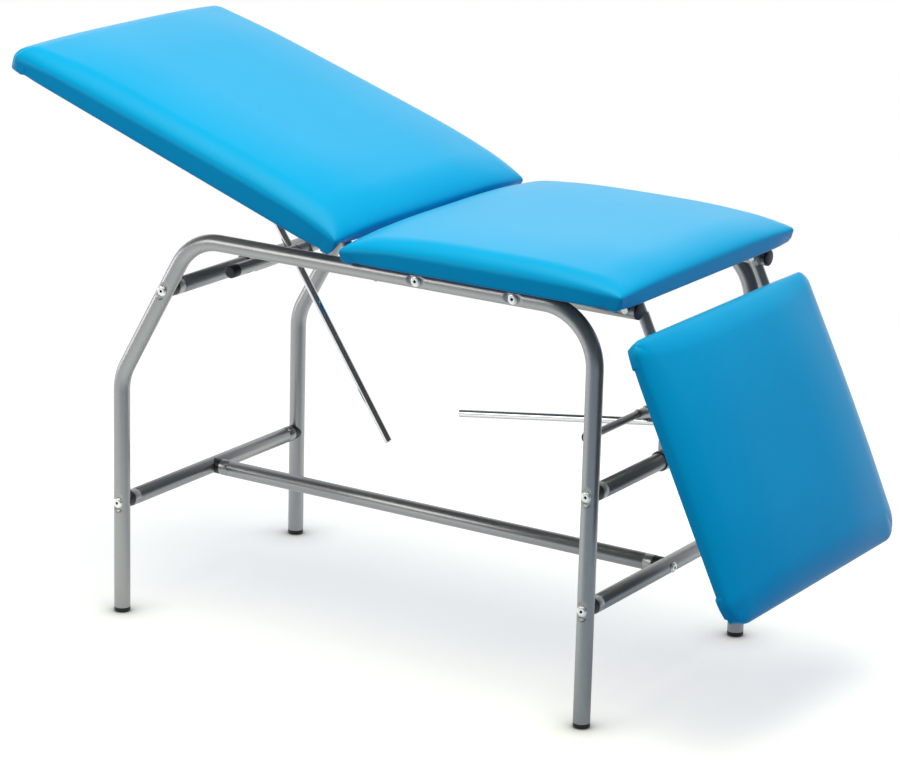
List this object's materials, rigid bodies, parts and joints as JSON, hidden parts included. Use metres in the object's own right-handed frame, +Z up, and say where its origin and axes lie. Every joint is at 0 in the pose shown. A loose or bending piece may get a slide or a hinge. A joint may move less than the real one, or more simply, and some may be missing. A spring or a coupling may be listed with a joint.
{
  "type": "examination table",
  "caption": "Padded medical examination couch on a bent tube frame, with a hinged backrest and leg rest held by sliding struts and released by cross bars.",
  "frame": {"origin": "on the floor, below the middle of the overall length and width in the stored pose", "axes": "+Z up, +X from the head end to the foot end, -Y the right-hand side of a person lying on the table"},
  "size_m": [1.5354, 0.62, 1.0419],
  "materials": {
    "powder_coat": "satin silver-grey powder coat",
    "chrome": "polished chrome plate",
    "zinc": "zinc-plated steel",
    "spring_steel": "oiled spring steel",
    "black_plastic": "satin moulded plastic",
    "vinyl": "satin blue vinyl over foam",
    "plywood": "dark-stained birch plywood"
  },
  "bodies": {
    "frame": {"back_hinge_pin_left": "zinc", "back_hinge_pin_right": "zinc", "bolt_foot_lower_left": "zinc", "bolt_foot_lower_right": "zinc", "bolt_foot_middle_left": "zinc", "bolt_foot_middle_right": "zinc", "bolt_head_lower_left": "zinc", "bolt_head_lower_right": "zinc", "bolt_head_upper_left": "zinc", "bolt_head_upper_right": "zinc", "bolt_seat_foot_left": "zinc", "bolt_seat_foot_right": "zinc", "bolt_seat_head_left": "zinc", "bolt_seat_head_right": "zinc", "bolt_stretcher_foot": "zinc", "bolt_stretcher_head": "zinc", "cross_tube_foot_lower": "powder_coat", "cross_tube_foot_middle": "powder_coat", "cross_tube_head_lower": "powder_coat", "cross_tube_head_upper": "powder_coat", "foot_cap_foot_left": "black_plastic", "foot_cap_foot_right": "black_plastic", "foot_cap_head_left": "black_plastic", "foot_cap_head_right": "black_plastic", "leg_hinge_pin_left": "zinc", "leg_hinge_pin_right": "zinc", "seat_board": "plywood", "seat_pad": "vinyl", "seat_rail_cap_foot_left": "black_plastic", "seat_rail_cap_foot_right": "black_plastic", "seat_rail_cap_head_left": "black_plastic", "seat_rail_cap_head_right": "black_plastic", "seat_rail_left": "powder_coat", "seat_rail_right": "powder_coat", "side_frame_left": "powder_coat", "side_frame_right": "powder_coat", "stretcher_tube": "powder_coat"},
    "backrest": {"back_board": "plywood", "back_frame": "powder_coat", "back_pad": "vinyl"},
    "back_strut": {"back_rod": "chrome", "back_rod_pin": "zinc"},
    "back_lock": {"back_lock": "powder_coat", "back_lock_bush": "black_plastic", "back_release_spring": "spring_steel"},
    "back_release": {"back_release_bar": "powder_coat", "back_release_cap_left": "black_plastic", "back_release_cap_right": "black_plastic"},
    "leg_rest": {"leg_board": "plywood", "leg_frame": "powder_coat", "leg_pad": "vinyl"},
    "leg_strut": {"leg_rod": "chrome", "leg_rod_pin": "zinc"},
    "leg_lock": {"leg_lock": "powder_coat", "leg_lock_bush": "black_plastic", "leg_release_spring": "spring_steel"},
    "leg_release": {"leg_release_bar": "powder_coat", "leg_release_knob_left": "black_plastic", "leg_release_knob_right": "black_plastic"}
  },
  "joints": [
    {"name": "backrest_hinge", "type": "hinge", "parent": "frame", "child": "backrest", "pos_m": [0.01496, 0, 0.7335], "axis": [0, 1, 0], "range_deg": [-18, 24]},
    {"name": "back_strut_pivot", "type": "hinge", "parent": "backrest", "child": "back_strut", "pos_m": [-0.52958, 0, 0.90927], "axis": [0, 1, 0], "range_deg": [-9, 12]},
    {"name": "back_lock_swivel", "type": "hinge", "parent": "frame", "child": "back_lock", "pos_m": [-0.4344, 0, 0.628], "axis": [0, 1, 0], "range_deg": [-26, 34]},
    {"name": "back_release_tilt", "type": "hinge", "parent": "back_lock", "child": "back_release", "pos_m": [-0.32164, 0, 0.64181], "axis": [0, 1, 0], "range_deg": [0, 10], "stiffness_Nm_per_rad": 3, "springref_deg": -5.73},
    {"name": "leg_rest_hinge", "type": "hinge", "parent": "frame", "child": "leg_rest", "pos_m": [0.48596, 0, 0.7335], "axis": [0, -1, 0], "range_deg": [0, 64.5]},
    {"name": "leg_strut_pivot", "type": "hinge", "parent": "leg_rest", "child": "leg_strut", "pos_m": [0.58517, 0, 0.49298], "axis": [0, 1, 0], "range_deg": [-1, 36]},
    {"name": "leg_lock_swivel", "type": "hinge", "parent": "frame", "child": "leg_lock", "pos_m": [0.44966, 0, 0.4136], "axis": [0, -1, 0], "range_deg": [-1, 31]},
    {"name": "leg_release_tilt", "type": "hinge", "parent": "leg_lock", "child": "leg_release", "pos_m": [0.43433, 0, 0.49334], "axis": [0, 1, 0], "range_deg": [0, 10], "stiffness_Nm_per_rad": 3, "springref_deg": -5.73}
  ],
  "couplings": [
    {"joint": "back_strut_pivot", "follows": "backrest_hinge", "ratio": 0.4},
    {"joint": "back_lock_swivel", "follows": "backrest_hinge", "ratio": 1.4},
    {"joint": "leg_strut_pivot", "follows": "leg_rest_hinge", "ratio": 0.54},
    {"joint": "leg_lock_swivel", "follows": "leg_rest_hinge", "ratio": 0.46}
  ]
}
